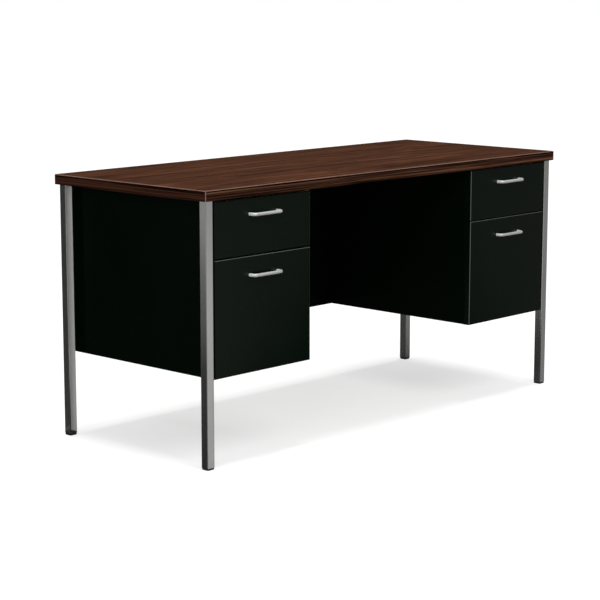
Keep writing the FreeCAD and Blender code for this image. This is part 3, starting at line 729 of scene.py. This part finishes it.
# %% [markdown]
# ## Rivets on the drawer rails
#
# Each drawer's two rails are riveted to its tray, and the heads show once the drawer is pulled out. A bump
# in the finish could draw them, but a bump has no outline when it is seen from the side. So a small round
# face is pushed out of the rail and its rim is rounded, a few times along each rail. The heads sit where
# nothing slides past them. Both kinds of tray are equally wide, but the hems of a box tray stand out, so
# the file tray's box says where the rails lie.

# %% Rivets
RIVET_RADIUS, RIVET_SIDES = 0.0036, 20
RIVET_HEIGHT = 0.0012
RIVET_RIM, RIVET_RIM_STEPS = 0.0008, 3
RIVETS_EACH = 4
RIVET_DROP = {"box": 0.0110, "file": 0.0193}
RAIL_SHEET = 0.0012


def rivet(bm, place, outward):
    """One rivet head on a rail; outward is -1 on a left rail and 1 on a right one."""
    seat = Matrix.Translation(place) @ Matrix.Rotation(QUARTER_TURN, 4, "Y")
    disc = bmesh.ops.create_circle(bm, cap_ends=True, segments=RIVET_SIDES, radius=RIVET_RADIUS, matrix=seat)
    push = Vector((outward * RIVET_HEIGHT, 0, 0))
    crown = extruded(bm, disc["verts"][0].link_faces[:], push, keep_start=True)
    rounded(bm, [edge for face in crown for edge in face.edges], RIVET_RIM, RIVET_RIM_STEPS)


def slide_rivets(side, kind):
    rails = f"{side}_{kind}_drawer_rails"
    low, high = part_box(rails)
    tray_low, tray_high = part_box(f"{side}_file_tray_sides")
    z = high.z - RIVET_DROP[kind]
    bm = bmesh.new()
    for step in range(RIVETS_EACH):
        y = low.y + (high.y - low.y) * (step + 0.5) / RIVETS_EACH
        rivet(bm, Vector((tray_low.x - RAIL_SHEET, y, z)), -1)
        rivet(bm, Vector((tray_high.x + RAIL_SHEET, y, z)), 1)
    bmesh.ops.recalc_face_normals(bm, faces=bm.faces[:])
    return finished_piece(f"{side}_{kind}_slide_rivets", bm, [screw_zinc], rails, stands_for=False)


for side in ("left", "right"):
    for kind in ("box", "file"):
        slide_rivets(side, kind)

# %% [markdown]
# ## The studio: floor and background
#
# The picture has a white background with a soft grey shadow under the desk. Brighter lamps would bleach the
# desk before the floor turned white. So the floor is a pale matt sheet with a little glow that only the
# camera and mirror-like surfaces see, and the world behind it is plain white for them as well. The floor
# still darkens where the desk keeps light away, which leaves the shadow.

# %% Floor
FLOOR_HALF = 40.0
FLOOR_GLOW = 0.55
PAPER_SCALE = 6.0
WHITE = (1, 1, 1, 1)


def grey(level):
    return (level, level, level)


def seen_directly(tree):
    """1 for camera, mirror and glass rays, 0 for the rays that light the desk."""
    path = add_node(tree, "ShaderNodeLightPath").outputs
    either = maths(tree, "MAXIMUM", path["Is Camera Ray"], path["Is Glossy Ray"])
    return maths(tree, "MAXIMUM", either, path["Is Transmission Ray"])


def studio_floor():
    finish, tree, shader, place = new_finish("studio_floor_paper", Specular_IOR_Level=0.0, Roughness=0.9,
                                             Emission_Color=WHITE)
    paper = toned(tree, noise(tree, place, PAPER_SCALE, detail=3.0), grey(0.53), grey(0.55))
    wire(tree, shader, Base_Color=paper, Emission_Strength=product(tree, seen_directly(tree), FLOOR_GLOW))
    bm = bmesh.new()
    plate(bm, Vector((-FLOOR_HALF, -FLOOR_HALF, 0)), Vector((FLOOR_HALF, FLOOR_HALF, 0)), 0)
    floor = mesh_object("studio_floor", bm, [finish])
    return floor


print("floor:", studio_floor().name)

# %% World
SKY_LIGHT = 0.45


def studio_sky():
    sky = bpy.data.worlds.new("studio_sky")
    sky.use_nodes = True
    tree = sky.node_tree
    tree.nodes.clear()
    strength = spread(tree, seen_directly(tree), 0.0, 1.0, SKY_LIGHT, 1.0)
    light = add_node(tree, "ShaderNodeBackground", {"Color": WHITE, "Strength": strength})
    add_node(tree, "ShaderNodeOutputWorld", {"Surface": light.outputs["Background"]})
    bpy.context.scene.world = sky
    return sky


print("world:", studio_sky().name)

# %% [markdown]
# ## The studio: cloth for the reflections
#
# Chrome, enamel and laminate look flat when everything round them is white. The colours of the metals could
# be darkened instead, but then they would look painted. Photographers hang cloth where only the reflections
# see it, and so does this studio. Each cloth is a woven grey, and a pattern sets how its grey changes.

# %% Cloth and plain patterns
WEAVE_SCALE, WEAVE_SHARE = 300.0, 0.1
WEAVE_GAP = (*grey(0.01), 1)
MOTTLE_SCALE = 0.5


def cloth(name, pattern):
    """Woven cloth. The pattern gets the node tree and the place, and returns the cloth's tone."""
    finish, tree, shader, place = new_finish(name, Specular_IOR_Level=0.0, Roughness=1.0)
    weave = product(tree, noise(tree, place, WEAVE_SCALE), WEAVE_SHARE)
    wire(tree, shader, Base_Color=mixed(tree, weave, pattern(tree, place), WEAVE_GAP))
    return finish


def greys(tree, factor, stops):
    """A ramp through (position, grey level) stops."""
    return ramp(tree, factor, [(position, grey(level)) for position, level in stops])


def mottled(low, high):
    """A pattern of two close greys."""
    def tone(tree, place):
        return toned(tree, noise(tree, place, MOTTLE_SCALE), grey(low), grey(high))
    return tone


def fading(axis, start, end, low, high):
    """A pattern that goes from one grey to another along an axis."""
    def tone(tree, place):
        return greys(tree, spread(tree, axis_parts(tree, place)[axis], start, end), [(0.0, low), (1.0, high)])
    return tone


dark_cloth = cloth("dark_cloth", mottled(0.03, 0.04))
print("cloth:", dark_cloth.name)

# %% [markdown]
# ## The studio: the back and front cloths
#
# Two cloths need more than a plain change. The left faces of the legs mirror the floor behind the desk, a
# long way to the left, so the back cloth is dark and gets lighter there, with a grey patch for the back of
# one leg. The drawer fronts and the front faces of the legs mirror the floor in front, so the front cloth
# has grey stripes that run off to the right as those reflections do, and is darker close to the desk. The
# stripes could be separate cards, but one ramp keeps their edges together.

# %% Back pattern
BACK_FAR = -5.0
BACK_STOPS = [(0.11, 0.06), (0.15, 0.01), (0.345, 0.015), (0.39, 0.06), (0.55, 0.10), (0.70, 0.18),
              (0.80, 0.33)]
PATCH_SLOPE, PATCH_GREY = 0.15, 0.30
PATCH_LEFT, PATCH_RIGHT, PATCH_FRONT = (-0.85, -0.78), (-0.35, -0.45), (0.32, 0.45)


def back_tone(tree, place):
    """Dark under the desk and beside it, lighter to the far left, with a patch behind the back left leg."""
    where = axis_parts(tree, place)
    tone = greys(tree, spread(tree, where["X"], 0.0, BACK_FAR), BACK_STOPS)
    slanted = maths(tree, "ADD", where["X"], product(tree, where["Y"], PATCH_SLOPE))
    patch = product(tree, spread(tree, slanted, *PATCH_LEFT), spread(tree, slanted, *PATCH_RIGHT))
    patch = product(tree, patch, spread(tree, where["Y"], *PATCH_FRONT))
    return mixed(tree, patch, tone, (*grey(PATCH_GREY), 1))


print("back cloth: greys at", len(BACK_STOPS), "places to the left")

# %% Front pattern
STRIPE_SLOPE = 1.068
STRIPES_FROM, STRIPES_TO = -1.15, 0.55
STRIPE_STOPS = [(0.05, 0.44), (0.09, 0.48), (0.14, 0.38), (0.22, 0.02), (0.69, 0.05), (0.76, 0.10),
                (0.91, 0.10), (0.925, 0.22)]
FAR_FROM, FAR_TO, FAR_SHARE, FAR_GREY = -1.6, -3.2, 0.5, 0.32
FRONTS_LEFT, FRONTS_RIGHT = (0.066, 0.08), (0.925, 0.91)
LEFT_TO_RIGHT, LEFT_SHADE, RIGHT_SHADE, LEG_SHADE = (0.3, 0.7), 0.05, 0.6, 0.9
SHADE_FROM, SHADE_TO = -1.0, -2.4


def front_tone(tree, place):
    """Grey stripes along the way that the drawer fronts mirror the floor, darkest before the knee space."""
    where = axis_parts(tree, place)
    slanted = maths(tree, "ADD", where["X"], product(tree, where["Y"], STRIPE_SLOPE))
    across = spread(tree, slanted, STRIPES_FROM, STRIPES_TO)
    tone = greys(tree, across, STRIPE_STOPS)
    far = spread(tree, where["Y"], FAR_FROM, FAR_TO, 0.0, FAR_SHARE)
    tone = mixed(tree, far, tone, (*grey(FAR_GREY), 1))
    fronts = product(tree, spread(tree, across, *FRONTS_LEFT), spread(tree, across, *FRONTS_RIGHT))
    front_shade = spread(tree, across, *LEFT_TO_RIGHT, LEFT_SHADE, RIGHT_SHADE)
    shade = spread(tree, fronts, 0.0, 1.0, LEG_SHADE, front_shade)
    shade = spread(tree, where["Y"], SHADE_FROM, SHADE_TO, shade, 1.0)
    return mixed(tree, 1.0, tone, shade, "MULTIPLY")


print("front cloth: greys at", len(STRIPE_STOPS), "places across its stripes")

# %% [markdown]
# ## The studio: hanging the cards
#
# A dark wall stands far off all round, which keeps the flat top from mirroring a white horizon. Four cards
# lie on the floor: the back and front cloths, a grey one in the corner between them for the rounded corners
# of the legs, and another on the right. A dark flag stands behind the back left leg, and a pale strip
# beside it. Lamps could be shaded instead, but the cards leave the light alone: they are hidden from the
# camera and from the light that falls on the desk.

# %% Ways to hang a card
WALL_RADIUS, WALL_HEIGHT, WALL_SIDES = 14.0, 8.0, 48
CARD_LIFT = 0.002


def reflection_only(name, bm, finish):
    """A stage object that only reflections see."""
    card = mesh_object(name, bm, [finish])
    card.visible_camera = card.visible_diffuse = card.visible_shadow = card.visible_transmission = False
    return card


def wall_ring():
    seat = Matrix.Translation((0, 0, WALL_HEIGHT / 2))
    bm = bmesh.new()
    bmesh.ops.create_cone(bm, segments=WALL_SIDES, radius1=WALL_RADIUS, radius2=WALL_RADIUS,
                          depth=WALL_HEIGHT, matrix=seat)
    return reflection_only("dark_wall", bm, dark_cloth)


def upright_card(name, ends, heights, finish):
    """A card that stands on edge between two places."""
    (start, end), (low, high) = ends, heights
    bm = bmesh.new()
    corners = [(*start, low), (*end, low), (*end, high), (*start, high)]
    bm.faces.new([bm.verts.new(corner) for corner in corners])
    return reflection_only(name, bm, finish)


def floor_card(name, low, high, pattern):
    bm = bmesh.new()
    plate(bm, Vector((*low, 0)), Vector((*high, 0)), CARD_LIFT)
    return reflection_only(f"{name}_card", bm, cloth(f"{name}_cloth", pattern))


print("floor cards lie", CARD_LIFT * 1000, "mm above the floor")

# %% Hang the cards
CARD_REACH = 13.5
CARDS_LEFT, CARDS_RIGHT, CARDS_MIDDLE = -0.76, 0.745, -0.289  # where the floor cards meet
RIGHT_FADE_END = 3.5
FLAG_ENDS, FLAG_HEIGHTS = ((-1.2, 0.36), (-0.78, 0.36)), (0, 0.78)
STRIP_ENDS, STRIP_HEIGHTS = ((-0.728, 0.276), (-0.728, 0.235)), (0.010, 0.720)

strip_cloth = cloth("strip_cloth", fading("Y", start=0.250, end=0.276, low=0.28, high=0.60))
cards = [
    wall_ring(),
    upright_card("flag", FLAG_ENDS, FLAG_HEIGHTS, dark_cloth),
    upright_card("leg_strip", STRIP_ENDS, STRIP_HEIGHTS, strip_cloth),
    floor_card("back", (-CARD_REACH, CARDS_MIDDLE), (CARDS_RIGHT, CARD_REACH), back_tone),
    floor_card("front", (CARDS_LEFT, -CARD_REACH), (CARD_REACH, CARDS_MIDDLE), front_tone),
    floor_card("corner", (-CARD_REACH, -CARD_REACH), (CARDS_LEFT, CARDS_MIDDLE), mottled(0.19, 0.23)),
    floor_card("right", (CARDS_RIGHT, CARDS_MIDDLE), (CARD_REACH, CARD_REACH),
               fading("X", start=CARDS_RIGHT, end=RIGHT_FADE_END, low=0.14, high=0.42)),
]
print("cards:", [card.name for card in cards])

# %% [markdown]
# ## The studio: lamps
#
# The shadow in the picture is a soft copy of the desk's own outline, straight under it. That is the shadow
# of a lamp right overhead, and its blurred edge tells how wide the lamp looks from the floor. A sun lamp
# with that angle gives the same shadow wherever the desk stands under it. Brighter surroundings could do
# the rest, but they would wash the shadow out. So two wide soft lamps, one high in front and one low on the
# left, light the drawer fronts, the pulls and the left end, and only what is left comes evenly from the
# white surround.

# %% Lamps
OVERHEAD_STRENGTH = 1.7
OVERHEAD_ANGLE = math.radians(13)
FRONT_LAMP = {"place": (-0.6, -3.0, 3.5), "size": 2.2, "power": 65.0}
LEFT_LAMP = {"place": (-4.2, -2.0, 2.0), "size": 2.8, "power": 80.0}
DESK_MIDDLE = (cad_box[0] + cad_box[1]) / 2


def on_stand(lamp):
    stand = bpy.data.objects.new(lamp.name, lamp)
    bpy.context.collection.objects.link(stand)
    return stand


def aim(stand, forward):
    """Turns a lamp or camera, which look along their own -Z, to look along a direction."""
    stand.rotation_euler = forward.to_track_quat("-Z", "Y").to_euler()


def overhead_lamp():
    """A lamp straight above; a new lamp already points down."""
    lamp = bpy.data.lights.new("overhead_lamp", "SUN")
    lamp.energy = OVERHEAD_STRENGTH
    lamp.angle = OVERHEAD_ANGLE
    return on_stand(lamp)


def soft_lamp(name, place, size, power):
    """A square lamp that looks at the middle of the desk."""
    lamp = bpy.data.lights.new(name, "AREA")
    lamp.shape = "SQUARE"
    lamp.size = size
    lamp.energy = power
    stand = on_stand(lamp)
    stand.location = place
    aim(stand, DESK_MIDDLE - Vector(place))
    return stand


lamps = [overhead_lamp(), soft_lamp("front_lamp", **FRONT_LAMP), soft_lamp("left_lamp", **LEFT_LAMP)]
print("lamps:", [lamp.name for lamp in lamps])

# %% [markdown]
# ## The camera
#
# The desk was photographed from its front left corner, a little above the top, with a long lens. A camera
# could be placed by eye, but then the sides would never quite line up. The angles, distance and lens here
# were fitted to the desk's corners and feet in the picture, so they are plain values.

# %% Camera
AZIMUTH = math.radians(-46.68)
ELEVATION = math.radians(9.87)
DISTANCE = 5.682
AIM = Vector((-0.0454, 0.0432, 0.3328))
LENS_MM = 113.2
CLIP_END = 200.0

camera_data = bpy.data.cameras.new("studio_camera")
camera_data.lens = LENS_MM
camera_data.clip_end = CLIP_END
camera = bpy.data.objects.new("studio_camera", camera_data)
level = math.cos(ELEVATION)
back = Vector((math.sin(AZIMUTH) * level, -math.cos(AZIMUTH) * level, math.sin(ELEVATION)))
camera.location = AIM + back * DISTANCE
aim(camera, -back)
bpy.context.collection.objects.link(camera)
scene = bpy.context.scene
scene.camera = camera
scene.view_settings.view_transform = "Standard"
print("camera at", [round(value, 3) for value in camera.location])

# %% [markdown]
# ## Last cell
#
# The dressed desk has to stay inside the imported one's box, which was measured
# when the desk was loaded.

# %% Finish
print("desk dressed")
